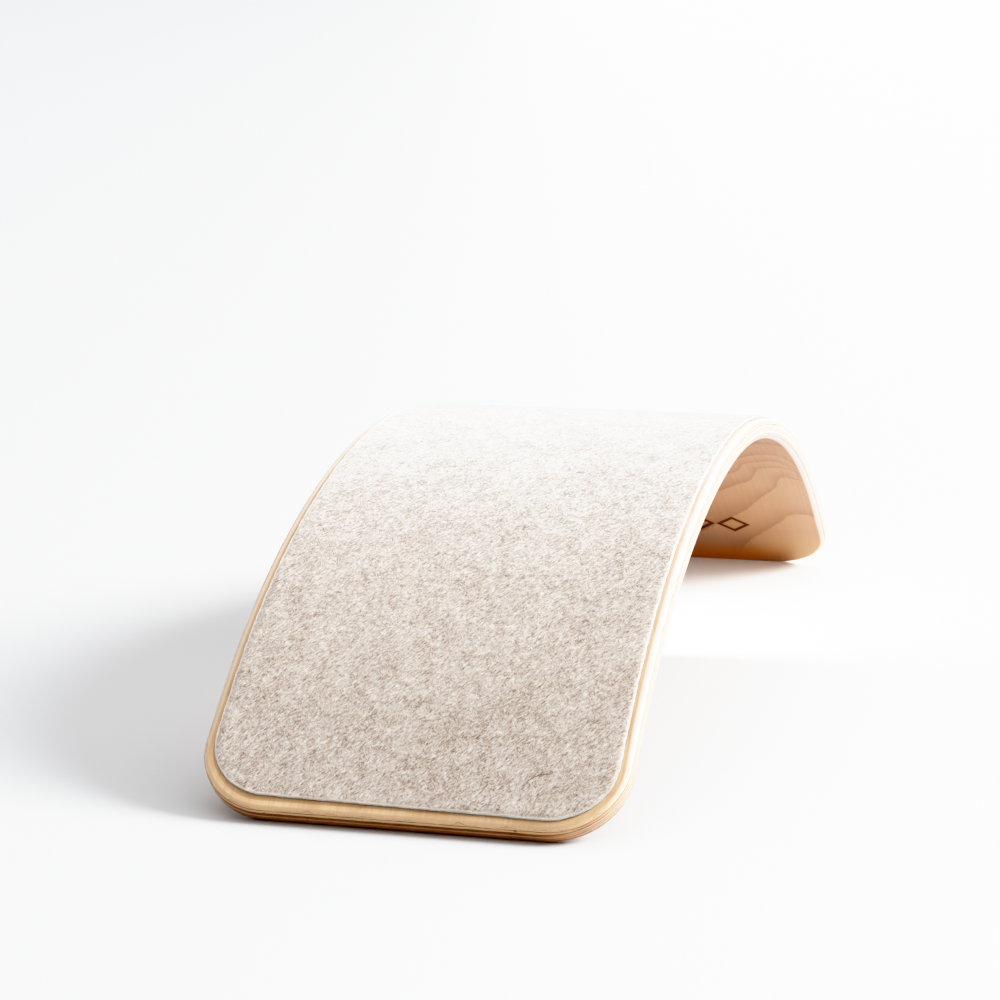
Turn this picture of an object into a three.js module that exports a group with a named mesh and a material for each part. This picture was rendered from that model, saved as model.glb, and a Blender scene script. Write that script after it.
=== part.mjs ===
// Curved balance board: seven bent veneers laminated into one arch, with a felt sheet glued on the convex face.
// Millimetres, +Z up. X runs along the board, Y across it, and the board stands on its two ends like a bridge.
import * as THREE from "three";

// ---- driving dimensions ----
const BLANK_LENGTH = 1004; // length of the flat board before bending, along its middle surface
const BOARD_WIDTH = 300;
const CORNER_RADIUS = 53; // plan radius of the four corners
const PLY_COUNT = 7;
const PLY_THICKNESS = 2.1;
const GLUE_GAP = 0.25; // glue line between two veneers
const EDGE_RADIUS = 4.5; // rounding of the upper and lower arrises
const LAND_HALF_ANGLE = 11; // half angle of the flat that the end arris rests on, in degrees
const FELT_MARGIN = 7.7; // bare wood rim round the felt
const FELT_SKEW = 4.2; // the felt's -X end is cut this much shorter at +Y than at -Y
const FELT_SKEW_START = 300; // the skew grows from this length to where the corners begin
const FELT_THICKNESS = 2.0;
const FELT_EDGE_RADIUS = 0.6;
const ADHESIVE_THICKNESS = 0.2;
const ADHESIVE_INSET = 2.0; // the film stops this far inside the felt's edge
// curvature of the middle surface per metre, at even steps from the middle of the board to its end
const CURVATURE = [1.753, 1.529, 1.558, 1.609, 1.688, 2.003, 0.994, -0.472];

const WOOD_THICKNESS = PLY_COUNT * PLY_THICKNESS + (PLY_COUNT - 1) * GLUE_GAP;

// ---- mesh density ----
const ARC_STEPS = 8; // stations round each plan corner
const STRAIGHT_STEPS = 61; // stations between the corners; odd, so a level facet lies on the crown
const CURVE_SAMPLES = 4000;

// ---- the bent middle surface ----
function curvatureAt(s) {
  const a = (Math.abs(s) / (BLANK_LENGTH / 2)) * (CURVATURE.length - 1);
  const i = Math.min(Math.floor(a), CURVATURE.length - 2);
  const k = CURVATURE[i] + (CURVATURE[i + 1] - CURVATURE[i]) * (a - i);
  return k / 1000;
}

// One half of the arch, from the crown to the end: tangent angle, x and drop below the crown.
const half = { angle: [0], x: [0], drop: [0] };
const ds = BLANK_LENGTH / 2 / CURVE_SAMPLES;
for (let i = 1; i <= CURVE_SAMPLES; i++) {
  const k = (curvatureAt((i - 1) * ds) + curvatureAt(i * ds)) / 2;
  const a0 = half.angle[i - 1],
    a1 = a0 + k * ds;
  half.angle.push(a1);
  half.x.push(half.x[i - 1] + (ds * (Math.cos(a0) + Math.cos(a1))) / 2);
  half.drop.push(half.drop[i - 1] + (ds * (Math.sin(a0) + Math.sin(a1))) / 2);
}

function sample(list, t) {
  const i = Math.min(Math.floor(t), CURVE_SAMPLES - 1);
  return list[i] + (list[i + 1] - list[i]) * (t - i);
}

const END_ANGLE = half.angle[CURVE_SAMPLES];

// A point h above the middle surface at the length s; z is measured from the middle surface's crown.
function bend(s, y, h) {
  const t = Math.abs(s) / ds,
    side = Math.sign(s);
  const angle = sample(half.angle, t);
  return new THREE.Vector3(
    side * (sample(half.x, t) + h * Math.sin(angle)),
    y,
    h * Math.cos(angle) - sample(half.drop, t),
  );
}

// ---- edge profile of the laminated board ----
// Each level is {h, inset}: a height in the board and how far the outline is pulled in there.
const LAND_ANGLE = Math.PI / 2 - END_ANGLE; // direction of straight down, seen from the end face towards the concave face
const landHalf = THREE.MathUtils.degToRad(LAND_HALF_ANGLE);
const edgeAngles = [
  0,
  (LAND_ANGLE - landHalf) / 2,
  LAND_ANGLE - landHalf,
  LAND_ANGLE + landHalf,
  (LAND_ANGLE + landHalf + Math.PI / 2) / 2,
  Math.PI / 2,
];
const halfWood = WOOD_THICKNESS / 2;
const edgePoints = edgeAngles.map((a) => ({
  h: halfWood - EDGE_RADIUS * (1 - Math.sin(a)),
  inset: EDGE_RADIUS * (1 - Math.cos(a)),
}));
const woodEdge = [
  ...edgePoints.map((p) => ({ h: -p.h, inset: p.inset })).reverse(),
  ...edgePoints,
];

function insetAt(profile, h) {
  for (let i = 1; i < profile.length; i++) {
    const a = profile[i - 1],
      b = profile[i];
    if (h <= b.h + 1e-9)
      return (
        a.inset + ((b.inset - a.inset) * (h - a.h)) / Math.max(b.h - a.h, 1e-9)
      );
  }
  return profile[profile.length - 1].inset;
}

// The part of the board's edge profile between two heights.
function levelsBetween(profile, h0, h1) {
  const inner = profile.filter((p) => p.h > h0 + 0.02 && p.h < h1 - 0.02);
  return [
    { h: h0, inset: insetAt(profile, h0) },
    ...inner,
    { h: h1, inset: insetAt(profile, h1) },
  ];
}

// ---- a bent sheet with round plan corners ----
// A box is divided along its length, and each of its vertices is moved to the bent sheet.
function bentSheet(levels, outlineInset, skew = 0) {
  const nx = STRAIGHT_STEPS + 2 * ARC_STEPS,
    nz = levels.length - 1;
  const geometry = new THREE.BoxGeometry(1, 1, 1, nx, 1, nz);
  const position = geometry.getAttribute("position");
  for (let v = 0; v < position.count; v++) {
    const i = Math.round((position.getX(v) + 0.5) * nx);
    const side = Math.sign(position.getY(v));
    const { h, inset } = levels[Math.round((position.getZ(v) + 0.5) * nz)];
    const [s, halfWidth] = station(i, nx, inset + outlineInset);
    const shift = skew * endWeight(s) * (0.5 + (side * halfWidth) / BOARD_WIDTH);
    position.setXYZ(v, ...bend(s + shift, side * halfWidth, h).toArray());
  }
  geometry.deleteAttribute("uv");
  geometry.computeVertexNormals();
  return geometry;
}

// How far a point at length s takes part in the skew of the -X end.
function endWeight(s) {
  const corner = BLANK_LENGTH / 2 - CORNER_RADIUS;
  return THREE.MathUtils.clamp(
    (-s - FELT_SKEW_START) / (corner - FELT_SKEW_START),
    0,
    1,
  );
}

// Length and half width of the outline at station i, for an outline pulled in by inset.
function station(i, nx, inset) {
  const r = CORNER_RADIUS - inset;
  const straight = BLANK_LENGTH / 2 - CORNER_RADIUS;
  const j = Math.min(i, nx - i);
  const side = i < nx / 2 ? -1 : 1;
  if (j < ARC_STEPS) {
    const a = ((j / ARC_STEPS) * Math.PI) / 2;
    return [
      side * (straight + r * Math.cos(a)),
      BOARD_WIDTH / 2 - CORNER_RADIUS + r * Math.sin(a),
    ];
  }
  const t = (i - ARC_STEPS) / STRAIGHT_STEPS;
  return [(2 * t - 1) * straight, BOARD_WIDTH / 2 - inset];
}

// ---- materials ----
const longWood = new THREE.MeshStandardMaterial({
  color: 0xe3c49b,
  roughness: 0.5,
  metalness: 0,
});
const crossWood = new THREE.MeshStandardMaterial({
  color: 0xc99f78,
  roughness: 0.6,
  metalness: 0,
});
const felt = new THREE.MeshStandardMaterial({
  color: 0xd3c9bd,
  roughness: 0.95,
  metalness: 0,
});
const adhesive = new THREE.MeshStandardMaterial({
  color: 0xd8cfae,
  roughness: 0.6,
  metalness: 0,
});

// ---- assembly ----
const board = new THREE.Group();
board.name = "balance_board";

function add(name, geometry, material) {
  const mesh = new THREE.Mesh(geometry, material);
  mesh.name = name;
  mesh.position.z = lift;
  board.add(mesh);
}

// The lowest point of the end arris sets how far the arch is lifted so that it stands on z = 0.
const lift = -Math.min(
  ...woodEdge.map((p) => bend(-(BLANK_LENGTH / 2 - p.inset), 0, p.h).z),
);

const plyNames = [
  "veneer_concave_face",
  "veneer_cross_lower",
  "veneer_long_lower",
  "veneer_cross_core",
  "veneer_long_upper",
  "veneer_cross_upper",
  "veneer_convex_face",
];
plyNames.forEach((name, i) => {
  const h0 = -halfWood + i * (PLY_THICKNESS + GLUE_GAP);
  const levels = levelsBetween(woodEdge, h0, h0 + PLY_THICKNESS);
  add(name, bentSheet(levels, 0), i % 2 ? crossWood : longWood);
});

const filmBase = halfWood + GLUE_GAP;
add(
  "felt_adhesive_film",
  bentSheet(
    [
      { h: filmBase, inset: 0 },
      { h: filmBase + ADHESIVE_THICKNESS, inset: 0 },
    ],
    FELT_MARGIN + ADHESIVE_INSET,
    FELT_SKEW,
  ),
  adhesive,
);

const feltBase = filmBase + ADHESIVE_THICKNESS + GLUE_GAP;
const feltTop = feltBase + FELT_THICKNESS;
add(
  "felt_sheet",
  bentSheet(
    [
      { h: feltBase, inset: 0 },
      { h: feltTop - FELT_EDGE_RADIUS, inset: 0 },
      {
        h: feltTop - 0.3 * FELT_EDGE_RADIUS,
        inset: 0.3 * FELT_EDGE_RADIUS,
      },
      { h: feltTop, inset: FELT_EDGE_RADIUS },
    ],
    FELT_MARGIN,
    FELT_SKEW,
  ),
  felt,
);

export default board;
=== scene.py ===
import math

import bpy
import numpy as np
from mathutils import Matrix, Vector


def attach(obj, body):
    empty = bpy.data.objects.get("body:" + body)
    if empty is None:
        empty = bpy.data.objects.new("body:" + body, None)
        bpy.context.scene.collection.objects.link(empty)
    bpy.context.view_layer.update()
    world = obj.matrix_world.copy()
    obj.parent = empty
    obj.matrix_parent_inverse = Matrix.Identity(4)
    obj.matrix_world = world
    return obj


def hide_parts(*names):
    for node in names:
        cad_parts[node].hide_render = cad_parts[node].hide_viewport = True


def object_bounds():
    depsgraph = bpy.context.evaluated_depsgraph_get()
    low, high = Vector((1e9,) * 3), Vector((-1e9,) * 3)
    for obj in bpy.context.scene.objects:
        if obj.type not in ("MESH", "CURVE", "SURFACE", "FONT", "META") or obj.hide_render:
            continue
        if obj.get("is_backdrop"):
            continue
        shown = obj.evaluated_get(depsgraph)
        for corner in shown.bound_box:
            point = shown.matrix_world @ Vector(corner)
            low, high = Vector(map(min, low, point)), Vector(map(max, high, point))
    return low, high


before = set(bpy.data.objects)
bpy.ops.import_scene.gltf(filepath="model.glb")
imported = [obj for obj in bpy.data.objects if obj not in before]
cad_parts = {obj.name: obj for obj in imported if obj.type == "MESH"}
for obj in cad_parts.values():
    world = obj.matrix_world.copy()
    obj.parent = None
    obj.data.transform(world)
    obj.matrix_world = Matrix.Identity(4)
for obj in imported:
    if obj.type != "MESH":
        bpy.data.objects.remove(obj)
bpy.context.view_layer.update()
scene = bpy.context.scene


def tone_curve(points):
    """A camera's response: what each linear brightness is recorded as."""
    view = scene.view_settings
    view.view_transform = "Standard"
    view.look = "None"
    view.use_curve_mapping = True
    cm = view.curve_mapping
    white = points[-1][0]
    cm.white_level = (white, white, white)
    cm.extend = "HORIZONTAL"
    c = cm.curves[3]
    c.points[0].location = points[0]
    c.points[1].location = (1.0, points[-1][1])
    for x, y in points[1:-1]:
        c.points.new(x / white, y)
    for pt in c.points:
        pt.handle_type = "AUTO_CLAMPED"
    cm.update()


tone_curve(
    [
        (0.0, 0.0),
        (0.03, 0.001),
        (0.06, 0.012),
        (0.12, 0.055),
        (0.25, 0.195),
        (0.5, 0.49),
        (0.75, 0.735),
        (1.0, 0.89),
        (1.3, 0.955),
        (1.8, 0.99),
        (2.6, 1.0),
    ]
)

# ------------------------------------------------------------------
# sizes, in metres: the CAD model's own
# ------------------------------------------------------------------
LENGTH = 1.004  # flat length of the board's middle surface
WIDTH = 0.300
CORNER = 0.053
PLIES = 7
PLY = 0.0021
GLUE = 0.00025
EDGE_R = 0.0045
FELT_SKEW = 0.0042  # the felt's -X end is cut this much shorter at +Y
FELT_SKEW_START = 0.300
FELT_MARGIN = 0.0077
CURVATURE = [1.753, 1.529, 1.558, 1.609, 1.688, 2.003, 0.994, -0.472]  # 1/m
THICK = PLIES * PLY + (PLIES - 1) * GLUE
HALF = THICK / 2
FELT_BASE = HALF + 0.00048  # the felt lies on its adhesive film
FELT_TOP = HALF + 0.0026

# the bent middle surface
_n = 4000
_ds = LENGTH / 2 / _n
_s = np.arange(_n + 1) * _ds
_k = np.interp(_s / (LENGTH / 2), np.linspace(0, 1, len(CURVATURE)), CURVATURE)
_ang = np.concatenate([[0], np.cumsum((_k[1:] + _k[:-1]) / 2 * _ds)])
_x = np.concatenate([[0], np.cumsum((np.cos(_ang[1:]) + np.cos(_ang[:-1])) / 2 * _ds)])
_z = np.concatenate([[0], np.cumsum((np.sin(_ang[1:]) + np.sin(_ang[:-1])) / 2 * _ds)])
END_ANGLE = _ang[-1]


def tangent_angle(s):
    return np.sign(s) * np.interp(np.abs(s), _s, _ang)


def bend(s, y, h):
    """Flat coordinates (along, across, above the middle surface) to the bent board, crown at z = 0."""
    s, y, h = np.broadcast_arrays(np.asarray(s, float), y, h)
    a = np.interp(np.abs(s), _s, _ang)
    x = np.interp(np.abs(s), _s, _x) + h * np.sin(a)
    z = h * np.cos(a) - np.interp(np.abs(s), _s, _z)
    return np.stack([np.sign(s) * x, y, z], -1)


# the arris's lowest point stands on the floor; the CAD's arris has a narrow flat there
_land = math.radians(11)
_a = np.array([math.pi / 2 - END_ANGLE - _land, math.pi / 2 - END_ANGLE + _land])
LIFT = -bend(
    -(LENGTH / 2 - EDGE_R * (1 - np.cos(_a))), 0, -(HALF - EDGE_R * (1 - np.sin(_a)))
)[:, 2].min()


def edge_inset(h):
    """How far the rounded edge is pulled in at height h in the board."""
    d = np.clip((np.abs(h) - (HALF - EDGE_R)) / EDGE_R, 0, 1)
    return EDGE_R * (1 - np.sqrt(np.clip(1 - d * d, 0, 1)))


def station(n_arc, n_straight, inset):
    """Along position and half width of the rounded outline at every station."""
    a = np.linspace(0, math.pi / 2, n_arc + 1)
    r = CORNER - inset
    straight = LENGTH / 2 - CORNER
    arc_s = straight + r * np.cos(a)
    arc_w = WIDTH / 2 - CORNER + r * np.sin(a)
    mid = np.linspace(-straight, straight, n_straight + 1)[1:-1]
    s = np.concatenate([-arc_s, mid, arc_s[::-1]])
    w = np.concatenate([arc_w, np.full(len(mid), WIDTH / 2 - inset), arc_w[::-1]])
    return s, w


def bent_sheet(
    name, heights, insets, outline_inset, n_arc, n_straight, ny, shape=None, wobble=0.0, skew=0.0
):
    """A closed sheet, bent to the arch. heights and insets are its edge profile from the lower face to the upper one.
    shape(s, y, h, face) may return a small change of h, and wobble is how far the outline strays."""
    nz = len(heights) - 1
    per = [station(n_arc, n_straight, i + outline_inset) for i in insets]
    nx = len(per[0][0]) - 1
    I, J, K = np.meshgrid(
        np.arange(nx + 1), np.arange(ny + 1), np.arange(nz + 1), indexing="ij"
    )
    skin = (
        (I == 0) | (I == nx) | (J == 0) | (J == ny) | (K == 0) | (K == nz)
    )
    index = -np.ones(skin.shape, int)
    index[skin] = np.arange(skin.sum())
    S = np.stack([p[0] for p in per], -1)  # station, level
    Wd = np.stack([p[1] for p in per], -1)
    i, j, k = I[skin], J[skin], K[skin]
    s = S[i, k]
    y = (2 * j / ny - 1) * Wd[i, k]
    h = np.asarray(heights)[k].astype(float)
    corner = LENGTH / 2 - CORNER
    s = s + skew * np.clip((-s - FELT_SKEW_START) / (corner - FELT_SKEW_START), 0, 1) * (
        0.5 + y / WIDTH
    )
    if skew:
        # the wool fluffs out a little at that end
        s = s - 0.0003 * np.clip((-s - 0.42) / 0.05, 0, 1)
    s0, y0 = s, y
    if wobble:
        s = s + wobble * (value_noise(s0 / 0.007, y0 / 0.007, 31) + value_noise(s0 / 0.0023, y0 / 0.0023, 32))
        y = y + wobble * (value_noise(s0 / 0.007, y0 / 0.007, 33) + value_noise(s0 / 0.0023, y0 / 0.0023, 34))
    if shape is not None:
        h = h + shape(s, y, h, k == nz)
    co = bend(s, y, h)
    co[:, 2] = np.maximum(co[:, 2] + LIFT, 0)

    def quads(a, b, c, d, flip):
        q = np.stack([a.ravel(), b.ravel(), c.ravel(), d.ravel()], -1)
        return q[:, ::-1] if flip else q

    faces = []
    for kk, flip in ((0, True), (nz, False)):
        g = index[:, :, kk]
        faces.append(quads(g[:-1, :-1], g[1:, :-1], g[1:, 1:], g[:-1, 1:], flip))
    for jj, flip in ((0, False), (ny, True)):
        g = index[:, jj, :]
        faces.append(quads(g[:-1, :-1], g[1:, :-1], g[1:, 1:], g[:-1, 1:], flip))
    for ii, flip in ((0, True), (nx, False)):
        g = index[ii, :, :]
        faces.append(quads(g[:-1, :-1], g[1:, :-1], g[1:, 1:], g[:-1, 1:], flip))
    faces = np.concatenate(faces)
    me = bpy.data.meshes.new(name)
    me.vertices.add(len(co))
    me.vertices.foreach_set("co", co.astype(np.float32).ravel())
    me.loops.add(faces.size)
    me.loops.foreach_set("vertex_index", faces.ravel().astype(np.int32))
    me.polygons.add(len(faces))
    me.polygons.foreach_set("loop_start", (np.arange(len(faces)) * 4).astype(np.int32))
    me.polygons.foreach_set("use_smooth", np.ones(len(faces), bool))
    flat = me.attributes.new("flat", "FLOAT_VECTOR", "POINT")
    flat.data.foreach_set("vector", np.stack([s, y, h], -1).astype(np.float32).ravel())
    ang = tangent_angle(s)
    grain = me.attributes.new("along", "FLOAT_VECTOR", "POINT")
    grain.data.foreach_set(
        "vector",
        np.stack([np.cos(ang), 0 * ang, -np.sin(ang)], -1).astype(np.float32).ravel(),
    )
    rim = me.attributes.new("rim", "FLOAT", "POINT")
    side = (i == 0) | (i == nx) | (j == 0) | (j == ny)
    cut = (side & (k > 0) & (k < nz - 1)).astype(np.float32)
    if skew:
        # the cut edge's mark is carried onto the top's outermost row, but not on the side the key light reaches:
        # painted light, a pale line along the shaded edges
        out = np.abs(s0) > LENGTH / 2 - CORNER
        other = smooth_step(-y0, WIDTH / 2 - CORNER + 0.01, WIDTH / 2 - 0.02)
        painted_light_onto_top = np.where(out, 1 - other, (y0 > 0).astype(float))
        cut = np.maximum(cut, side * (k == nz - 1) * 0.5 * painted_light_onto_top).astype(np.float32)
    rim.data.foreach_set("value", cut)
    me.update()
    me.validate()
    me.set_sharp_from_angle(angle=math.radians(50))
    ob = bpy.data.objects.new(name, me)
    scene.collection.objects.link(ob)
    return ob


# ------------------------------------------------------------------
# node helpers
# ------------------------------------------------------------------
class Nodes:
    """Short calls for a material's nodes. A number, a tuple or another node's output can be an input."""

    def __init__(self, name):
        self.mat = bpy.data.materials.new(name)
        self.mat.use_nodes = True
        self.t = self.mat.node_tree
        self.t.nodes.clear()
        self.out = self.t.nodes.new("ShaderNodeOutputMaterial")
        self.bsdf = self.t.nodes.new("ShaderNodeBsdfPrincipled")
        self.t.links.new(self.bsdf.outputs[0], self.out.inputs["Surface"])

    def _set(self, socket, value):
        if isinstance(value, bpy.types.NodeSocket):
            self.t.links.new(value, socket)
        elif value is not None:
            if hasattr(socket.default_value, "__len__"):
                n = len(socket.default_value)
                v = (
                    list(value)
                    if hasattr(value, "__len__")
                    else [value] * min(n, 3)
                )
                socket.default_value = (v + [1.0] * n)[:n]
            else:
                socket.default_value = value

    def attr(self, name):
        n = self.t.nodes.new("ShaderNodeAttribute")
        n.attribute_name = name
        return n.outputs["Vector"]

    def attr_fac(self, name):
        n = self.t.nodes.new("ShaderNodeAttribute")
        n.attribute_name = name
        return n.outputs["Fac"]

    def mix_value(self, fac, a, b):
        n = self.t.nodes.new("ShaderNodeMix")
        self._set(n.inputs[0], fac)
        self._set(n.inputs[2], a)
        self._set(n.inputs[3], b)
        return n.outputs[0]

    def math(self, op, a, b=None, c=None, clamp=False):
        n = self.t.nodes.new("ShaderNodeMath")
        n.operation = op
        n.use_clamp = clamp
        for s, v in zip(n.inputs, (a, b, c)):
            self._set(s, v)
        return n.outputs[0]

    def vmath(self, op, a, b=None, out=0):
        n = self.t.nodes.new("ShaderNodeVectorMath")
        n.operation = op
        self._set(n.inputs[0], a)
        if b is not None:
            self._set(n.inputs["Scale" if op == "SCALE" else 1], b)
        return n.outputs[out]

    def split(self, v):
        n = self.t.nodes.new("ShaderNodeSeparateXYZ")
        self._set(n.inputs[0], v)
        return n.outputs[0], n.outputs[1], n.outputs[2]

    def join(self, x, y, z):
        n = self.t.nodes.new("ShaderNodeCombineXYZ")
        for s, v in zip(n.inputs, (x, y, z)):
            self._set(s, v)
        return n.outputs[0]

    def noise(self, vec, scale, detail=2.0, rough=0.5, distortion=0.0, lac=2.0):
        n = self.t.nodes.new("ShaderNodeTexNoise")
        n.noise_dimensions = "3D"
        self._set(n.inputs["Vector"], vec)
        n.inputs["Scale"].default_value = scale
        n.inputs["Detail"].default_value = detail
        n.inputs["Roughness"].default_value = rough
        n.inputs["Lacunarity"].default_value = lac
        n.inputs["Distortion"].default_value = distortion
        return n.outputs["Fac"]

    def noise_vec(self, vec, scale, detail=2.0, rough=0.5):
        n = self.t.nodes.new("ShaderNodeTexNoise")
        self._set(n.inputs["Vector"], vec)
        n.inputs["Scale"].default_value = scale
        n.inputs["Detail"].default_value = detail
        n.inputs["Roughness"].default_value = rough
        return n.outputs["Color"]

    def ramp(self, fac, stops, mode="LINEAR"):
        n = self.t.nodes.new("ShaderNodeValToRGB")
        n.color_ramp.interpolation = mode
        els = n.color_ramp.elements
        while len(els) < len(stops):
            els.new(0.5)
        for e, (p, c) in zip(els, stops):
            e.position = p
            c = [c] * 3 if not hasattr(c, "__len__") else list(c)
            e.color = (c + [1.0])[:4]
        self._set(n.inputs[0], fac)
        return n.outputs[0]

    def remap(self, v, a, b, c=0.0, d=1.0, smooth=False):
        n = self.t.nodes.new("ShaderNodeMapRange")
        n.interpolation_type = "SMOOTHSTEP" if smooth else "LINEAR"
        n.clamp = True
        self._set(n.inputs["Value"], v)
        for key, val in zip(("From Min", "From Max", "To Min", "To Max"), (a, b, c, d)):
            self._set(n.inputs[key], val)
        return n.outputs[0]

    def mix(self, fac, a, b, kind="MIX"):
        n = self.t.nodes.new("ShaderNodeMix")
        n.data_type = "RGBA"
        n.blend_type = kind
        self._set(n.inputs[0], fac)
        self._set(n.inputs[6], a)
        self._set(n.inputs[7], b)
        return n.outputs[2]

    def bump(self, height, strength, distance, normal=None):
        n = self.t.nodes.new("ShaderNodeBump")
        n.inputs["Strength"].default_value = strength
        n.inputs["Distance"].default_value = distance
        self._set(n.inputs["Height"], height)
        if normal is not None:
            self._set(n.inputs["Normal"], normal)
        return n.outputs[0]

    def geometry(self, out):
        return self.t.nodes.new("ShaderNodeNewGeometry").outputs[out]

    def set(self, **kw):
        for k, v in kw.items():
            self._set(self.bsdf.inputs[k.replace("_", " ")], v)


def srgb(r, g, b):
    return tuple(
        (c / 12.92 if c <= 0.04045 else ((c + 0.055) / 1.055) ** 2.4)
        for c in (r / 255, g / 255, b / 255)
    )


# ------------------------------------------------------------------
# smooth noise and the veneer's growth-ring figure
# ------------------------------------------------------------------
def value_noise(x, y, seed):
    """Smooth noise from -1 to 1, one feature to a unit."""
    table = np.random.default_rng(seed).uniform(-1, 1, (256, 256))
    xi, yi = np.floor(x).astype(int), np.floor(y).astype(int)
    fx, fy = x - xi, y - yi
    fx, fy = fx * fx * (3 - 2 * fx), fy * fy * (3 - 2 * fy)
    g = lambda i, j: table[(xi + i) & 255, (yi + j) & 255]
    return (g(0, 0) * (1 - fx) + g(1, 0) * fx) * (1 - fy) + (
        g(0, 1) * (1 - fx) + g(1, 1) * fx
    ) * fy


def smooth_step(x, a, b):
    t = np.clip((x - a) / (b - a), 0, 1)
    return t * t * (3 - 2 * t)


# growth rings of the concave face: (ring number, [(along, across), ...]), in metres on the flat board
RINGS = [
    (0.0, [(0.2271, -0.1103), (0.2065, -0.1328), (0.2205, -0.1393), (0.2615, -0.1455), (0.2883, -0.1488)]),
    (1.0, [(0.2913, -0.0874), (0.2606, -0.1084), (0.2534, -0.1272), (0.2698, -0.1389), (0.2918, -0.1465)]),
    (2.0, [(0.3252, -0.0728), (0.2899, -0.0966), (0.2810, -0.1123), (0.2815, -0.1301), (0.2955, -0.1424), (0.3209, -0.1480)]),
    (3.0, [(0.4280, 0.0100), (0.3946, -0.0398), (0.3823, -0.0558), (0.3720, -0.0694), (0.3539, -0.0869), (0.3456, -0.0954), (0.3395, -0.1046), (0.3206, -0.1082), (0.3056, -0.1140), (0.2982, -0.1241), (0.2972, -0.1314), (0.3050, -0.1393), (0.3236, -0.1476)]),
    (4.0, [(0.4800, -0.0300), (0.4250, -0.0789), (0.4034, -0.0949), (0.3809, -0.1090), (0.3620, -0.1189), (0.3515, -0.1276), (0.3480, -0.1372), (0.3592, -0.1431), (0.3811, -0.1477)]),
    (5.0, [(0.4941, -0.0805), (0.4744, -0.0859), (0.4580, -0.0974), (0.4431, -0.1125), (0.4365, -0.1208), (0.4320, -0.1270), (0.4258, -0.1295), (0.4195, -0.1340), (0.4229, -0.1392), (0.4338, -0.1473)]),
]


def _spline_weights():
    """A thin-plate spline through the rings."""
    pts = np.array([q for _, line in RINGS for q in line])
    val = np.array([v for v, line in RINGS for _ in line])
    d2 = ((pts[:, None] - pts[None]) ** 2).sum(-1)
    k = 0.5 * d2 * np.log(d2 + 1e-12)
    n = len(pts)
    a = np.zeros((n + 3, n + 3))
    a[:n, :n] = k + np.eye(n) * 1e-6
    a[:n, n] = a[n, :n] = 1
    a[:n, n + 1 :] = pts
    a[n + 1 :, :n] = pts.T
    w = np.linalg.solve(a, np.concatenate([val, np.zeros(3)]))
    return pts, w


_ring_pts, _ring_w = _spline_weights()


def ring_field(s, y, concave):
    """Ring number at a point of a face veneer."""
    own = (
        2.0
        - 20 * (s - 0.1)
        - 2.6 * (y / 0.15) ** 2
        + 1.3 * value_noise(s / 0.11 + 3.3, y / 0.06 + 7.1, 11)
        + 0.35 * value_noise(s / 0.035 + 1.3, y / 0.022 + 2.1, 12)
    )
    if not concave:
        return 0.55 * own + 0.9 * value_noise(s / 0.05, y / 0.03 + 5.0, 13)
    drawn = np.zeros(len(s))
    for i in range(0, len(s), 20000):
        q = np.stack([s[i : i + 20000], y[i : i + 20000]], -1)
        d2 = ((q[:, None] - _ring_pts[None]) ** 2).sum(-1)
        drawn[i : i + 20000] = (
            (0.5 * d2 * np.log(d2 + 1e-12)) @ _ring_w[:-3]
            + _ring_w[-3]
            + q @ _ring_w[-2:]
        )
    drawn += 0.02 * value_noise(s / 0.012, y / 0.012, 14)
    t = smooth_step(s, 0.02, 0.17)
    return own * (1 - t) + drawn * t


# ------------------------------------------------------------------
# wood
# ------------------------------------------------------------------
MARK_S, MARK_W, MARK_H, MARK_STROKE = 0.4302, 0.0330, 0.0300, 0.0042


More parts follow.
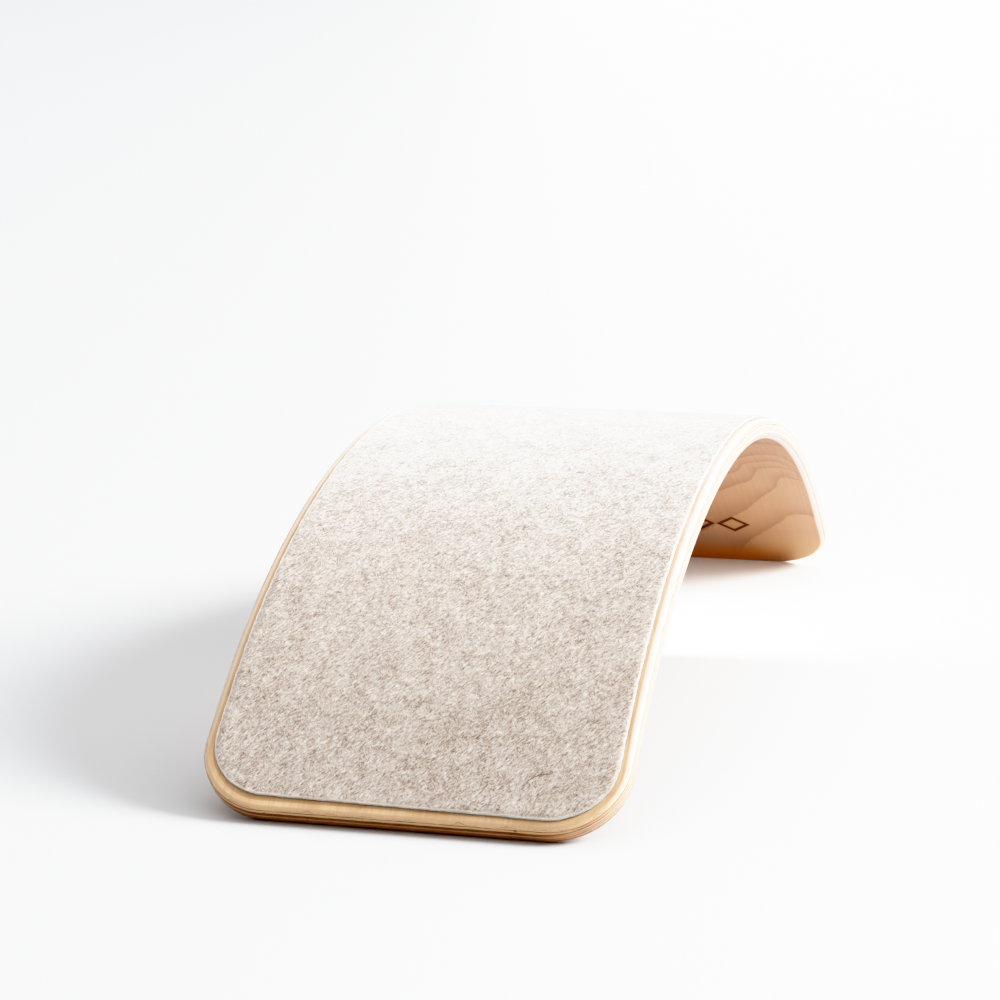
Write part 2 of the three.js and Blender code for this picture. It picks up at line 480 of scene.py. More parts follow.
def wood(name, lo, hi, face=0, across=False, seed=0.0, lower=False, open_joint=None):
    """One veneer, from height lo to hi. face: 1 on the convex side, -1 on the concave side, 0 inside.
    lower: in the lower half of the stack. open_joint: the height of a joint that has a wide glue line."""
    m = Nodes(name)
    flat = m.attr("flat")
    s, y, h = m.split(flat)
    g, a = (y, s) if across else (s, y)
    normal = m.geometry("Normal")
    grain = (0.0, 1.0, 0.0) if across else m.attr("along")
    end = m.math("ABSOLUTE", m.vmath("DOT_PRODUCT", normal, grain, out=1))
    if face:
        end = m.remap(end, 0.25, 0.8, smooth=True)
    else:
        end = m.remap(end, 0.70 if lower else 0.45, 0.95, smooth=True)

    at = lambda kg, ka, kh: m.join(
        m.math("MULTIPLY_ADD", g, kg, seed),
        m.math("MULTIPLY_ADD", a, ka, seed * 1.7),
        m.math("MULTIPLY", h, kh),
    )
    deep = 150 if face else 620
    fibre = m.noise(at(14, 620, deep), 1.0, 3, 0.6)
    pores = m.noise(at(60, 1500, 1500), 1.0, 2, 0.6)
    streak = m.noise(at(5, 250 if face else 120, 220), 1.0, 3, 0.6)
    patch = m.noise(at(22, 45, 120), 1.0, 3, 0.55)

    warm = (0.80, 0.50, 0.25)
    if face:
        light, dark = (0.86, 0.605, 0.395), (0.70, 0.45, 0.26)
        # painted shade: the concave face, which faces the floor, gets a darker copy of the face colours
        if face < 0:
            light, dark, warm = (0.575, 0.350, 0.212), (0.555, 0.332, 0.198), (0.59, 0.34, 0.185)
        end_light, end_dark = (0.90, 0.64, 0.42), (0.68, 0.43, 0.25)
    elif across:
        light, dark = (0.74, 0.50, 0.29), (0.56, 0.33, 0.165)
        end_light, end_dark = (0.76, 0.52, 0.39), (0.58, 0.36, 0.245)
    else:
        light, dark = (0.86, 0.69, 0.52), (0.74, 0.53, 0.36)
        end_light, end_dark = (0.42, 0.20, 0.085), (0.20, 0.075, 0.025)
        # painted light: the lower long veneers, in the shade near the floor, get a lighter and more saturated copy of
        # the end-grain colour
        if lower:
            end_light, end_dark = (0.70, 0.33, 0.11), (0.50, 0.20, 0.05)
    tone = m.math(
        "ADD",
        m.remap(fibre, 0.25, 0.75, 0.0, 0.5),
        m.remap(streak, 0.3, 0.7, 0.0, 0.5),
    )
    col = m.mix(tone, light, dark)
    col = m.mix(m.remap(patch, 0.5, 0.72, 0.0, 0.3 if face else 0.45, smooth=True), col, warm)
    if across and lower:
        # painted shade: the lower cross veneers' end faces are darkened to a deep red-brown, fading out near the
        # right-hand side, where the key light falls
        painted_end_shade = m.math("ABSOLUTE", m.vmath("DOT_PRODUCT", normal, m.attr("along"), out=1))
        painted_end_shade = m.math(
            "MULTIPLY", m.remap(painted_end_shade, 0.72, 0.95, 0.0, 0.85), m.remap(y, -0.125, -0.085)
        )
        col = m.mix(painted_end_shade, col, (0.60, 0.28, 0.085))
    if face:
        fine = m.noise(at(26, 1150, deep), 1.0, 1, 0.5)
        col = m.mix(m.remap(fine, 0.60, 0.72, 0.0, 0.28 if face > 0 else 0.05), col, (0.48, 0.25, 0.11))
        ring = m.math("ADD", m.attr_fac("ring"), m.math("MULTIPLY", h, 160.0 * face))
        ring = m.math(
            "ADD", ring, m.remap(m.noise(at(90, 500, 200), 1.0, 2, 0.5), 0.3, 0.7, -0.02, 0.02)
        )
        phase = m.math("FRACT", ring)
        late = m.math("POWER", phase, 2.4 if face < 0 else 3.0)
        late = m.math("MULTIPLY", late, m.remap(phase, 0.945, 1.0, 1.0, 0.0))
        col = m.mix(
            late,
            col,
            m.mix(1.0, col, (0.74, 0.695, 0.675) if face < 0 else (0.86, 0.80, 0.76), "MULTIPLY"),
        )
        # paler colour on the rounded arris: partly paler wood below the face where sanding cut through it, partly
        # painted highlight, whitest on the right-hand side, where the key light falls, and brighter nearer the outer
        # edge at the ends, where the rounding turns from the light.
        ax, ay, az = m.split(m.attr("along"))
        nx, ny, nz = m.split(normal)
        level = m.math("SUBTRACT", m.math("MULTIPLY", nz, ax), m.math("MULTIPLY", nx, az))
        # painted light and shade on the convex face: darker on the right-hand side, where the key light falls, except
        # near the crown; lighter on the shaded left-hand side, most at the ends; and bluer towards the crown
        if face > 0:
            far = m.math("ABSOLUTE", s)
            sides = m.remap(y, -0.145, 0.145, m.remap(far, 0.08, 0.28, 1.03, 0.88), 1.06)
            ends = m.remap(y, -0.145, 0.14, 0.92, 1.32)
            painted_light_gain = m.mix_value(m.remap(far, 0.43, 0.475), sides, ends)
            painted_light_blue = m.math("MULTIPLY", painted_light_gain, m.remap(far, 0.05, 0.43, 1.30, 1.0))
            col = m.mix(1.0, col, m.join(painted_light_gain, painted_light_gain, painted_light_blue), "MULTIPLY")
        sanded_and_highlight = m.remap(m.math("ABSOLUTE", level), 0.997, 0.93, 0.0, 0.9, smooth=True)
        # distance from the board's edge, measured on the flat board
        corner = m.vmath(
            "MAXIMUM",
            m.vmath(
                "SUBTRACT",
                m.vmath("ABSOLUTE", flat),
                (LENGTH / 2 - CORNER, WIDTH / 2 - CORNER, 1.0),
            ),
            (0.0, 0.0, 0.0),
        )
        edge = m.math("SUBTRACT", CORNER, m.vmath("LENGTH", corner, out=1))
        start = m.math("ADD", edge, m.remap(m.math("ABSOLUTE", s), 0.42, 0.465, 0.0, 0.0012))
        sanded_and_highlight = m.math("MAXIMUM", sanded_and_highlight, m.remap(start, 0.0058, 0.0044, 0.0, 0.8, smooth=True))
        at_end = m.math("DIVIDE", m.split(corner)[0], m.vmath("LENGTH", corner, out=1))
        # painted shade: on the ends the arris colour is dimmed towards the right-hand side, where the key light falls
        painted_dim = m.remap(y, -0.14, -0.03, 0.86, 1.0)
        sanded_and_highlight_col = m.mix(
            m.remap(at_end, 0.15, 0.75),
            m.mix(
                m.math(
                    "MAXIMUM",
                    m.remap(y, -0.1, 0.1),
                    m.remap(m.math("ABSOLUTE", s), 0.41, 0.46, 0.0, 0.6),
                ),
                m.mix(tone, (0.95, 0.84, 0.76), (0.88, 0.74, 0.64)),
                m.mix(tone, (0.90, 0.71, 0.55), (0.82, 0.62, 0.45)),
            ),
            m.mix(
                1.0,
                m.mix(
                    m.remap(edge, 0.0032, 0.0012),
                    m.mix(tone, (0.87, 0.595, 0.385), (0.78, 0.515, 0.315)),
                    m.mix(tone, (0.98, 0.75, 0.53), (0.91, 0.67, 0.45)),
                ),
                m.join(painted_dim, painted_dim, painted_dim),
                "MULTIPLY",
            ),
        )
        col = m.mix(sanded_and_highlight, col, sanded_and_highlight_col)
    cut = m.mix(m.remap(pores, 0.3, 0.7), end_light, end_dark)
    if not face:
        cut = m.mix(
            m.remap(y, -0.13, -0.09), (0.53, 0.36, 0.265) if lower else (0.66, 0.44, 0.31), cut
        )
        # painted shade: near the ends' right-hand corners, where the key light falls, the inner veneers are darkened
        # with a pink cast
        painted_corner_shade = m.math(
            "MULTIPLY",
            m.remap(m.math("ABSOLUTE", s), 0.41, 0.47),
            m.remap(y, -0.09, -0.13),
        )
        shade = (0.76, 0.71, 0.76) if lower else (0.86, 0.80, 0.80)
        col = m.mix(painted_corner_shade, col, m.mix(1.0, col, shade, "MULTIPLY"))
    col = m.mix(end, col, cut)
    if face < 0:
        # painted shade: the concave face is darkened under the arch, by about a third under the crown and less
        # towards the far end
        painted_crown_shade = m.remap(s, 0.20, 0.42)
        col = m.mix(1.0, col, m.mix(painted_crown_shade, (0.65, 0.64, 0.68), (0.93, 0.925, 0.95)), "MULTIPLY")
        # painted light: near the far end the right-hand side of the concave face is lightened, standing for light
        # bounced from the floor
        low = m.math("MULTIPLY", m.remap(s, 0.44, 0.475), m.remap(y, -0.07, -0.105))
        col = m.mix(low, col, m.mix(1.0, col, (1.22, 1.26, 1.16), "MULTIPLY"))
        # painted shade: a dark, strongly orange band along the foot of the concave face near the floor, fading out at
        # the right-hand edge
        painted_foot_shade = m.math(
            "MULTIPLY", m.remap(s, 0.460, 0.492, 0.0, 0.9, smooth=True), m.remap(y, -0.115, -0.078)
        )
        col = m.mix(painted_foot_shade, col, (0.70, 0.275, 0.015))
    if face > 0:
        # painted shade: a dark line on the wood where the felt stops, stronger towards the ends
        painted_felt_edge_shade = m.math(
            "MULTIPLY",
            m.remap(edge, 0.0069, 0.0077, 0.0, 0.45, smooth=True),
            m.remap(m.math("ABSOLUTE", s), 0.15, 0.40, 0.1, 1.0),
        )
        col = m.mix(painted_felt_edge_shade, col, (0.46, 0.27, 0.13))
        # the arris was sanded by hand, so the next veneer shows along a wavy line
        wave = m.noise(m.vmath("MULTIPLY", flat, (58.0, 58.0, 0.0)), 1.0, 3, 0.5)
        wave = m.math("SUBTRACT", h, m.remap(wave, 0.36, 0.66, lo - 0.0004, lo + 0.0017))
        below = m.math("MULTIPLY", m.remap(wave, 0.0, 0.00006, 1.0, 0.0), 0.45)
        col = m.mix(below, col, (0.66, 0.43, 0.25))
        seam = m.math(
            "MULTIPLY",
            m.remap(m.math("ABSOLUTE", wave), 0.00008, 0.00020, 0.42, 0.0),
            m.remap(m.math("ABSOLUTE", s), 0.12, 0.32, 0.2, 1.0),
        )
        col = m.mix(seam, col, (0.36, 0.19, 0.08))

    # glue line at each joint, thicker and thinner along the edge
    gap = None
    for edge, there in ((lo, face >= 0), (hi, face <= 0)):
        if there:
            d = m.math("ABSOLUTE", m.math("SUBTRACT", h, edge))
            if open_joint is not None and abs(edge - open_joint) < 0.0004:
                d = m.math("MULTIPLY", d, 0.5)
            gap = d if gap is None else m.math("MINIMUM", gap, d)
    run = m.noise(m.vmath("MULTIPLY", flat, (70.0, 70.0, 900.0)), 1.0, 3, 0.6)
    width = m.remap(run, 0.35, 0.7, 0.00008, 0.00042)
    line = m.math("SUBTRACT", 1.0, m.remap(gap, m.math("MULTIPLY", width, 0.5), width))
    col = m.mix(m.math("MULTIPLY", line, 0.85), col, (0.145, 0.052, 0.016))
    # small gaps where a veneer doesn't quite meet the next
    void = m.noise(m.vmath("MULTIPLY", flat, (130.0, 130.0, 500.0)), 1.0, 1, 0.5)
    void = m.math(
        "MULTIPLY", m.remap(void, 0.735, 0.76), m.remap(gap, 0.0008, 0.0005, 0.0, 1.0)
    )
    col = m.mix(void, col, (0.02, 0.008, 0.003))

    rough = m.remap(fibre, 0.3, 0.7, 0.36, 0.50)
    if face < 0:
        # a burned row of diamonds near the far end
        cell = m.math("DIVIDE", y, MARK_W)
        cell = m.math("ABSOLUTE", m.math("SUBTRACT", cell, m.math("ROUND", cell)))
        up = m.math("ABSOLUTE", m.math("DIVIDE", m.math("SUBTRACT", s, MARK_S), MARK_H))
        dia = m.math("ADD", cell, up)
        char = m.noise(m.vmath("SCALE", flat, 900.0), 1.0, 2, 0.5)
        half = MARK_STROKE / MARK_W / 1.4
        off = m.math("ABSOLUTE", m.math("SUBTRACT", dia, 0.40))
        off = m.math("ADD", off, m.remap(char, 0.3, 0.7, -0.008, 0.008))
        ink = m.remap(off, half * 0.72, half, 1.0, 0.0)
        row = m.math("LESS_THAN", m.math("ABSOLUTE", y), MARK_W * 2.5)
        ink = m.math("MULTIPLY", ink, row)
        scorch = m.math("MULTIPLY", m.remap(off, half, half * 2.4, 0.3, 0.0), row)
        col = m.mix(scorch, col, (0.42, 0.20, 0.08))
        col = m.mix(ink, col, (0.13, 0.042, 0.014))
        rough = m.mix_value(ink, rough, 0.75)
    m.set(Base_Color=col, Roughness=rough)
    m.bsdf.inputs["Coat Weight"].default_value = 0.2
    m.bsdf.inputs["Coat Roughness"].default_value = 0.25
    rel = m.math("ADD", m.math("MULTIPLY", fibre, 0.6), m.math("MULTIPLY", pores, 0.4))
    rel = m.math("SUBTRACT", rel, m.math("MULTIPLY", line, 0.8))
    m.set(Normal=m.bump(rel, 0.06 if face < 0 else 0.25, 0.0002))
    return m.mat


def felt_wool(name):
    """Pressed undyed wool: pale fibres with brown ones mixed in, in clouds."""
    m = Nodes(name)
    flat = m.attr("flat")
    s, y, h = m.split(flat)
    across = m.math("MULTIPLY", y, -1.0)
    hh = m.math("MULTIPLY", h, 900.0)

    def fibres(angle, along, over, detail=2, rough=0.6, shift=0.0):
        """Noise drawn out along one direction of the sheet."""
        ca, sa = math.cos(angle), math.sin(angle)
        u = m.math("MULTIPLY_ADD", across, ca, m.math("MULTIPLY", s, sa))
        v = m.math("MULTIPLY_ADD", across, -sa, m.math("MULTIPLY", s, ca))
        return m.noise(
            m.join(
                m.math("MULTIPLY_ADD", u, along, shift), m.math("MULTIPLY", v, over), hh
            ),
            1.0,
            detail,
            rough,
        )

    away = m.math("ABSOLUTE", s)
    where = m.remap(m.noise(flat, 150.0, 2, 0.6), 0.48, 0.66, smooth=True)
    n1 = m.mix_value(
        where, fibres(0.85, 430, 1450, 2, 0.7), fibres(2.1, 430, 1450, 2, 0.7, 5.0)
    )
    n2 = m.mix_value(where, fibres(1.0, 210, 620), fibres(0.55, 210, 620, shift=3.0))
    n3 = m.noise(flat, 190.0, 2, 0.6)
    n4 = m.noise(flat, 70.0, 3, 0.6)
    n5 = m.noise(flat, 18.0, 3, 0.6)
    terms = [(n1, 2.5), (n2, 0.95), (n3, 0.42), (n4, 0.46), (n5, 0.27)]
    total = None
    for n, w in terms:
        t = m.math("MULTIPLY", m.math("SUBTRACT", n, 0.5), w)
        total = t if total is None else m.math("ADD", total, t)
    # the pattern's contrast is set by position: strongest at the crown, weaker towards the ends
    contrast_by_position = m.math("POWER", m.remap(away, 0.0, 0.42, 1.0, 0.0), 1.7)
    contrast_by_position = m.math("MULTIPLY_ADD", contrast_by_position, 0.95, 0.62)
    col = m.ramp(
        m.math("ADD", m.math("MULTIPLY", total, contrast_by_position), 0.5),
        [
            (0.05, (0.120, 0.072, 0.048)),
            (0.30, (0.330, 0.245, 0.182)),
            (0.50, (0.530, 0.440, 0.368)),
            (0.70, (0.680, 0.600, 0.525)),
            (0.95, (0.860, 0.810, 0.745)),
        ],
    )
    # single brown fibres
    dark = m.math(
        "MAXIMUM",
        fibres(0.9, 210, 1500, 1, 0.5, 11.0),
        m.math("MAXIMUM", fibres(0.2, 210, 1500, 1, 0.5, 17.0), fibres(2.0, 210, 1500, 1, 0.5, 23.0)),
    )
    col = m.mix(m.remap(dark, 0.70, 0.80, 0.0, 0.55), col, (0.17, 0.115, 0.082))
    # painted light and shade along the board: the felt is a little darker just off the crown and lighter towards the
    # ends, with a slight cool tint
    shade = m.math(
        "MULTIPLY", m.remap(away, 0.03, 0.2, 1.0, 0.945), m.remap(away, 0.26, 0.38, 1.0, 1.12)
    )
    shade = m.join(
        m.math("MULTIPLY", shade, 0.97),
        m.math("MULTIPLY", shade, 0.985),
        m.math("MULTIPLY", shade, 1.02),
    )
    col = m.mix(1.0, col, shade, "MULTIPLY")
    # the cut edge is paler than the face: partly its cleaner wool, partly painted light that lifts the shaded edge,
    # warmed where it faces away from the key light to offset its cooler shade
    cut = m.mix(m.remap(n1, 0.35, 0.65), (0.86, 0.79, 0.71), (0.97, 0.93, 0.88))
    away_side = m.remap(m.vmath("DOT_PRODUCT", m.geometry("Normal"), (0.0, -1.0, 0.0), out=1), 0.0, 0.7)
    cut = m.mix(1.0, cut, m.mix(away_side, (1.0, 0.945, 0.885), (1.0, 1.0, 1.0)), "MULTIPLY")
    col = m.mix(m.math("MULTIPLY", m.attr_fac("rim"), 0.85), col, cut)
    m.set(Base_Color=col, Roughness=0.95)
    # light travels a little way through the loose wool there
    m.set(Subsurface_Weight=m.attr_fac("rim"))
    m.bsdf.inputs["Subsurface Radius"].default_value = (1.0, 0.9, 0.8)
    m.bsdf.inputs["Subsurface Scale"].default_value = 0.003
    m.bsdf.inputs["Sheen Weight"].default_value = 1.0
    m.bsdf.inputs["Sheen Roughness"].default_value = 0.5
    m.bsdf.inputs["Specular IOR Level"].default_value = 0.2
    rel = m.math("ADD", m.math("MULTIPLY", n1, 0.6), m.math("MULTIPLY", n2, 0.5))
    # the fibres of the cut edge stand every way, so it takes light much as the face does
    ax, ay, az = m.split(m.attr("along"))
    upward = m.join(m.math("MULTIPLY", az, -1.0), 0.0, ax)
    soft = m.math("MULTIPLY", m.attr_fac("rim"), 0.85)
    normal = m.vmath(
        "NORMALIZE",
        m.vmath(
            "ADD",
            m.vmath("SCALE", upward, soft),
            m.vmath("SCALE", m.geometry("Normal"), m.math("SUBTRACT", 1.0, soft)),
        ),
    )
    m.set(Normal=m.bump(rel, 0.5, 0.00035, normal))
    return m.mat


# ------------------------------------------------------------------
# pieces
# ------------------------------------------------------------------
names = [
    "veneer_concave_face",
    "veneer_cross_lower",
    "veneer_long_lower",
    "veneer_cross_core",
    "veneer_long_upper",
    "veneer_cross_upper",
    "veneer_convex_face",
]
ply_objects = []
for i, node in enumerate(names):
    lo = -HALF + i * (PLY + GLUE) - (GLUE / 2 - 0.00001 if i else 0)
    hi = -HALF + i * (PLY + GLUE) + PLY + (GLUE / 2 - 0.00001 if i < PLIES - 1 else 0)
    n = 14 if i in (0, PLIES - 1) else 6
    t = np.linspace(0, 1, n + 1)
    if i == 0:
        t = 1 - np.cos(t * math.pi / 2)
    elif i == PLIES - 1:
        t = np.sin(t * math.pi / 2)
    heights = list(lo + (hi - lo) * t)
    insets = list(edge_inset(np.array(heights)))
    if i == 0:
        heights.insert(0, lo)
        insets.insert(0, insets[0] + 0.001)
    if i == PLIES - 1:
        heights.append(hi)
        insets.append(insets[-1] + 0.001)
    outer = i in (0, PLIES - 1)
    ob = bent_sheet(
        node + "_wood", heights, insets, 0.0, 20, 240 if outer else 160, 90 if outer else 8
    )
    face = -1 if i == 0 else 1 if i == PLIES - 1 else 0
    if face:
        me = ob.data
        flat = np.zeros(len(me.vertices) * 3, np.float32)
        me.attributes["flat"].data.foreach_get("vector", flat)
        flat = flat.reshape(-1, 3).astype(float)
        ring = me.attributes.new("ring", "FLOAT", "POINT")
        ring.data.foreach_set(
            "value", ring_field(flat[:, 0], flat[:, 1], face < 0).astype(np.float32)
        )
    ob.data.materials.append(
        wood(
            "wood_" + node,
            lo,
            hi,
            face,
            bool(i % 2),
            seed=3.7 * i,
            lower=i <= 2,
            open_joint=HALF - 2 * PLY - 1.5 * GLUE,
        )
    )
    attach(ob, "root")
    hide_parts(node)
    ply_objects.append(ob)

# felt
FELT_R = 0.0011  # the cut edge is pressed round


def felt_relief(s, y, h, top):
    """Small hollows and lumps of pressed wool on the top, and a thinner margin."""
    r = 0.00011 * value_noise(s / 0.0075, y / 0.0075, 21)
    r += 0.00010 * value_noise(s / 0.0038 + 9, y / 0.0038 + 4, 22)
    r += 0.00008 * value_noise(s / 0.03, y / 0.03, 23)
    # the wool thins towards its cut edge
    q = np.maximum(np.abs(s) - (LENGTH / 2 - CORNER), 0), np.maximum(np.abs(y) - (WIDTH / 2 - CORNER), 0)
    inside = CORNER - FELT_MARGIN - np.hypot(*q)
    lit = q[1] * (y < 0) / np.maximum(np.hypot(*q), 1e-6)
    lit = smooth_step(lit, 0.3, 0.9)
    thin = 0.34 * (1 - smooth_step(inside, 0.0002, 0.0045)) * (1 - lit)
    thin += 0.22 * (1 - smooth_step(inside, 0.0002, 0.0020)) * lit
    # and it droops over the edge of the adhesive film
    droop = 0.00035 * (1 - smooth_step(inside, 0.0001, 0.0018))
    droop = np.where(h < FELT_BASE + 0.0001, droop, droop * lit)
    return np.where(h > FELT_TOP - 0.0001, r - 0.0001, 0.0) - (h - FELT_BASE) * thin - droop


t = np.linspace(0, math.pi / 2, 7)
heights = [FELT_BASE, FELT_BASE] + list(FELT_TOP - FELT_R + FELT_R * np.sin(t)) + [FELT_TOP]
insets = [0.001, 0.0] + list(FELT_R * (1 - np.cos(t))) + [FELT_R + 0.001]
felt = bent_sheet(
    "felt_cloth",
    heights,
    insets,
    FELT_MARGIN,
    24,
    440,
    144,
    felt_relief,
    wobble=0.00022,
    skew=FELT_SKEW,
)
felt.data.materials.append(felt_wool("felt_wool"))
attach(felt, "root")
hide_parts("felt_sheet")


def tubes(name, paths, radii, sides=5):
    """Tapered round fibres along paths of flat coordinates (along, across, above the middle surface)."""
    co, faces, at = [], [], []
    base = 0
    for path, radius in zip(paths, radii):
        p = bend(path[:, 0], path[:, 1], path[:, 2])
        p[:, 2] = np.maximum(p[:, 2] + LIFT, radius)
        n = len(p)
        along = np.gradient(p, axis=0)
        along /= np.linalg.norm(along, axis=1)[:, None] + 1e-12
        u = np.cross(along, [0.31, 0.82, 0.48])
        u /= np.linalg.norm(u, axis=1)[:, None] + 1e-12
        v = np.cross(along, u)
        r = radius * np.sqrt(np.clip(np.sin(np.linspace(0.12, math.pi - 0.12, n)), 0, 1))
        a = np.arange(sides) * 2 * math.pi / sides
        ring = p[:, None] + r[:, None, None] * (
            np.cos(a)[None, :, None] * u[:, None] + np.sin(a)[None, :, None] * v[:, None]
        )
        co.append(ring.reshape(-1, 3))
        at.append(np.repeat(path, sides, axis=0))
        for i in range(n - 1):
            for k in range(sides):
                q = base + i * sides + np.array([k, (k + 1) % sides])
                faces.append((q[0], q[1], q[1] + sides, q[0] + sides))
        faces.append(tuple(base + k for k in range(sides))[::-1])
        faces.append(tuple(base + (n - 1) * sides + k for k in range(sides)))
        base += n * sides
    me = bpy.data.meshes.new(name)
    me.from_pydata(np.concatenate(co).tolist(), [], faces)
    me.polygons.foreach_set("use_smooth", np.ones(len(me.polygons), bool))
    att = me.attributes.new("flat", "FLOAT_VECTOR", "POINT")
    att.data.foreach_set("vector", np.concatenate(at).astype(np.float32).ravel())
    me.update()
    ob = bpy.data.objects.new(name, me)
    scene.collection.objects.link(ob)
    return ob


def fibre_wool(name, a, b):
    m = Nodes(name)
    n = m.noise(m.attr("flat"), 700.0, 2, 0.6)
    m.set(Base_Color=m.mix(m.remap(n, 0.35, 0.65), a, b), Roughness=0.8)
    m.bsdf.inputs["Sheen Weight"].default_value = 0.5
    return m.mat


def arc_through(points, n):
    """A smooth line through a few points."""
    points = np.array(points, float)
    t = np.linspace(0, len(points) - 1, n)
    i = np.clip(t.astype(int), 0, len(points) - 2)
    f = (t - i)[:, None]
    ext = np.concatenate([[2 * points[0] - points[1]], points, [2 * points[-1] - points[-2]]])
    a, b, c, d = ext[i], ext[i + 1], ext[i + 2], ext[i + 3]
    return 0.5 * (
        2 * b + (c - a) * f + (2 * a - 5 * b + 4 * c - d) * f**2 + (3 * b - a - 3 * c + d) * f**3
    )


def loose_fibre(s0, y0, heading, length, curl, above, rng, n=9):
    """A curled fibre that lies on the felt."""
    t = np.linspace(0, 1, n)
    turn = heading + curl * t + 0.5 * np.sin(t * 5 + rng.uniform(0, 6))
    step = length / (n - 1)
    s1 = s0 + np.cumsum(np.cos(turn)) * step
    y1 = y0 + np.cumsum(np.sin(turn)) * step
    return np.stack([s1, y1, above + 0.00012 * np.sin(t * math.pi)], -1)


rng = np.random.default_rng(7)
lie = FELT_TOP - 0.00002
dark_paths = [
    np.append(arc_through(p, 16), np.full((16, 1), lie + 0.00022), 1)
    for p in (
        [(-0.4735, -0.0800), (-0.4680, -0.0818), (-0.4635, -0.0850), (-0.4600, -0.0915), (-0.4588, -0.0975)],
        [(-0.4912, -0.0552), (-0.4880, -0.0560), (-0.4862, -0.0590), (-0.4860, -0.0630)],
        [(-0.4862, -0.0640), (-0.4858, -0.0668), (-0.4885, -0.0678), (-0.4915, -0.0668)],
        [(-0.4720, 0.0490), (-0.4733, 0.0478), (-0.4716, 0.0465)],
        [(-0.4830, 0.1140), (-0.4845, 0.1120), (-0.4830, 0.1100), (-0.4812, 0.1112)],
    )
]
dark_radii = [0.00015, 0.00011, 0.00012, 0.00017, 0.00010]
felt_half_s, felt_half_y = LENGTH / 2 - FELT_MARGIN - 0.006, WIDTH / 2 - FELT_MARGIN - 0.006
for _ in range(210):
    dark_paths.append(
        loose_fibre(
            rng.uniform(-0.44, 0.44),
            rng.uniform(-felt_half_y, felt_half_y),
            rng.uniform(0, 2 * math.pi),
            rng.uniform(0.002, 0.0055),
            rng.uniform(-2.5, 2.5),
            lie,
            rng,
        )
    )
    dark_radii.append(rng.uniform(0.00004, 0.00008))
hair_dark = tubes("felt_loose_brown_fibres", dark_paths, dark_radii)
hair_dark.data.materials.append(fibre_wool("brown_fibre", (0.10, 0.060, 0.040), (0.20, 0.135, 0.095)))

pale_paths, pale_radii = [], []
for _ in range(420):
    pale_paths.append(
        loose_fibre(
            rng.uniform(-0.44, 0.44),
            rng.uniform(-felt_half_y, felt_half_y),
            rng.uniform(0, 2 * math.pi),
            rng.uniform(0.002, 0.006),
            rng.uniform(-2.5, 2.5),
            lie,
            rng,
        )
    )
    pale_radii.append(rng.uniform(0.00004, 0.00008))
# fibres that stand out of the cut edge
fs, fw = station(40, 420, FELT_MARGIN + 0.0003)
outline = np.concatenate([np.stack([fs, fw], -1), np.stack([fs, -fw], -1)[::-1]])
step = np.linalg.norm(np.diff(outline, axis=0, append=outline[:1]), axis=1)
reach = np.concatenate([[0], np.cumsum(step)])
near_end = reach[-1] * rng.uniform(0, 1, 60000)
near_end = near_end[np.interp(near_end, reach[:-1], outline[:, 0]) < -0.445][:4200]
for d in np.concatenate([rng.uniform(0, reach[-1], 5200), near_end]):
    i = min(int(np.searchsorted(reach, d, side="right")) - 1, len(outline) - 1)
    a, b = outline[i], outline[(i + 1) % len(outline)]
    f = (d - reach[i]) / max(step[i], 1e-9)
    q = a + (b - a) * f
    along = (b - a) / (np.linalg.norm(b - a) + 1e-12)
    out = np.array([-along[1], along[0]])
    swing = rng.normal(0, 1.0)
    head = out * math.cos(swing) + along * math.sin(swing)
    if head @ out < 0.15:
        head = head + out * (0.15 - head @ out)
    n = 4
    t = np.linspace(0, 1, n)[:, None]
    length = rng.uniform(0.0005, 0.0011) if rng.random() < 0.75 else rng.uniform(0.001, 0.0021)
    start = q - out * 0.0007
    line = start + head * length * t + along * (rng.normal(0, 0.35) * length * t**2)
    weight = min(max((-line[0, 0] - FELT_SKEW_START) / (LENGTH / 2 - CORNER - FELT_SKEW_START), 0), 1)
    line[:, 0] += FELT_SKEW * weight * (0.5 + line[:, 1] / WIDTH)
    if line[0, 0] < -0.445:
        # the end's fibres lie outwards from its top
        line[:, 0] -= 0.0003
        h0, rise = rng.uniform(FELT_TOP - 0.0013, FELT_TOP - 0.0007), rng.uniform(-0.0004, 0.0001)
    else:
        h0, rise = rng.uniform(FELT_BASE - 0.0002, FELT_BASE + 0.0010), rng.uniform(-0.0002, 0.0005)
    pale_paths.append(np.concatenate([line, h0 + rise * t], 1))
    pale_radii.append(rng.uniform(0.00006, 0.00013))
hair_pale = tubes("felt_loose_pale_fibres", pale_paths, pale_radii, 3)
hair_pale.data.materials.append(fibre_wool("pale_fibre", (0.74, 0.68, 0.61), (0.92, 0.88, 0.83)))
for ob in (hair_dark, hair_pale):
    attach(ob, "root")

glue = Nodes("dried_adhesive")
where = glue.t.nodes.new("ShaderNodeTexCoord").outputs["Object"]
film = glue.noise(where, 160.0, 3, 0.6)
glue.set(
    Base_Color=glue.mix(
        glue.remap(film, 0.35, 0.65), srgb(205, 196, 160), srgb(184, 168, 122)
    ),
    Roughness=glue.remap(film, 0.3, 0.7, 0.35, 0.6),
    Normal=glue.bump(film, 0.3, 0.0002),
)
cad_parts["felt_adhesive_film"].data.materials.clear()
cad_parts["felt_adhesive_film"].data.materials.append(glue.mat)

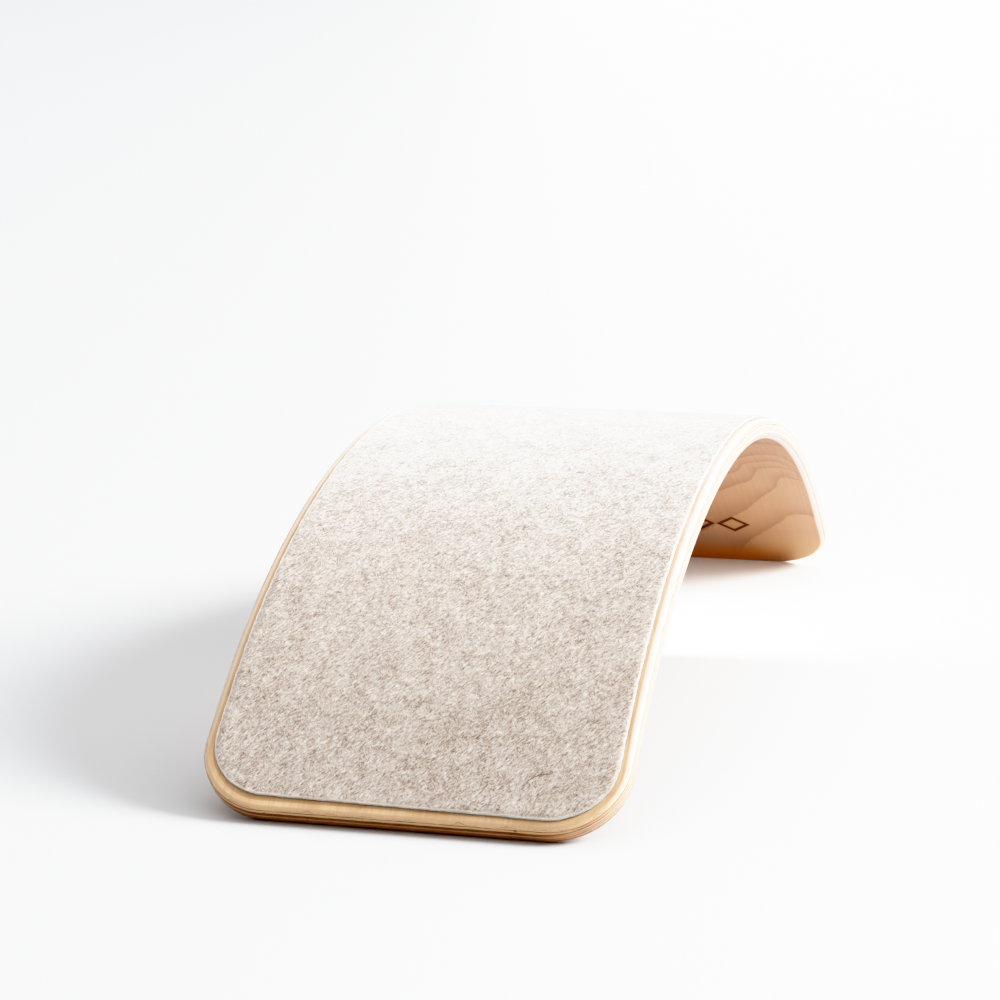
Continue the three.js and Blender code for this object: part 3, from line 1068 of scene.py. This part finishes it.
# ------------------------------------------------------------------
# stage, light and camera
# ------------------------------------------------------------------
me = bpy.data.meshes.new("floor")
me.from_pydata(
    [(-15, -20, 0), (45, -20, 0), (45, 20, 0), (-15, 20, 0)], [], [(0, 1, 2, 3)]
)
floor = bpy.data.objects.new("floor", me)
scene.collection.objects.link(floor)
fm = Nodes("floor_pale")
tc = fm.t.nodes.new("ShaderNodeTexCoord")
fx, fy, fz = fm.split(tc.outputs["Object"])
# painted light falloff: the floor runs from grey on the left to near white on the right, towards the key light
off = fm.math("ADD", fm.math("MULTIPLY", fx, 0.26), fm.math("MULTIPLY", fy, -0.965))
painted_falloff = fm.math("DIVIDE", off, fm.math("ADD", fm.math("ABSOLUTE", off), 0.8))
fm.set(
    Base_Color=fm.mix(
        fm.remap(painted_falloff, -0.9, 0.9), (0.475, 0.487, 0.512), (0.96, 0.96, 0.955)
    ),
    Roughness=0.8,
)
me.materials.append(fm.mat)
floor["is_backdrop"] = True

world = bpy.data.worlds.new("studio")
scene.world = world
world.use_nodes = True
sky = Nodes.__new__(Nodes)
sky.t = world.node_tree
bg = world.node_tree.nodes["Background"]
bg.inputs[0].default_value = (1, 1, 1, 1)
tc = sky.t.nodes.new("ShaderNodeTexCoord")
towards = Vector((0.72, -0.36, 0.62)).normalized()
side = sky.vmath("DOT_PRODUCT", tc.outputs["Generated"], tuple(towards), out=1)
sky._set(bg.inputs[1], sky.remap(side, -0.45, 1.0, 0.02, 1.80))


def sun(name, towards, angle, energy, color=(1, 1, 1)):
    """A sun whose light comes from the direction towards."""
    d = bpy.data.lights.new(name, "SUN")
    d.energy = energy
    d.angle = math.radians(angle)
    d.color = color
    o = bpy.data.objects.new(name, d)
    o.rotation_euler = Vector(towards).to_track_quat("Z", "Y").to_euler()
    scene.collection.objects.link(o)
    return o


def direction(azimuth, elevation):
    """azimuth 0 is +X, 90 is +Y."""
    a, e = math.radians(azimuth), math.radians(elevation)
    return (math.cos(a) * math.cos(e), math.sin(a) * math.cos(e), math.sin(e))


sun("key", direction(-71.5, 30), 27, 5.1)

# a weak fill for the floor under the arch
fill_data = bpy.data.lights.new("arch_fill", "AREA")
fill_data.energy = 1.0
fill_data.size = 0.18
fill = bpy.data.objects.new("arch_fill", fill_data)
fill.location = (0.12, -0.06, 0.13)
fill.rotation_euler = (
    (Vector(fill.location) - Vector((0.38, -0.05, 0.0))).to_track_quat("Z", "Y").to_euler()
)
fill.visible_camera = False
fill.visible_glossy = False
scene.collection.objects.link(fill)
only_floor = bpy.data.collections.new("fill_receivers")
only_floor.objects.link(floor)
fill.light_linking.receiver_collection = only_floor

cam_data = bpy.data.cameras.new("camera")
cam = bpy.data.objects.new("camera", cam_data)
scene.collection.objects.link(cam)
yaw, pitch, roll, focal = 0.2670, -0.1939, -0.0058, 2850.9
fwd = np.array(
    [math.cos(pitch) * math.cos(yaw), math.cos(pitch) * math.sin(yaw), math.sin(pitch)]
)
right = np.cross(fwd, [0, 0, 1.0])
right /= np.linalg.norm(right)
up = np.cross(right, fwd)
cr, sr = math.cos(roll), math.sin(roll)
right, up = cr * right + sr * up, -sr * right + cr * up
rot = Matrix(
    (
        (right[0], up[0], -fwd[0]),
        (right[1], up[1], -fwd[1]),
        (right[2], up[2], -fwd[2]),
    )
)
cam.matrix_world = Matrix.Translation((-2.1848, -0.5447, 0.58197)) @ rot.to_4x4()
cam_data.sensor_width = 36
cam_data.lens = focal / 1000 * 36
cam_data.clip_start, cam_data.clip_end = 0.05, 200
scene.camera = cam

lo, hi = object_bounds()
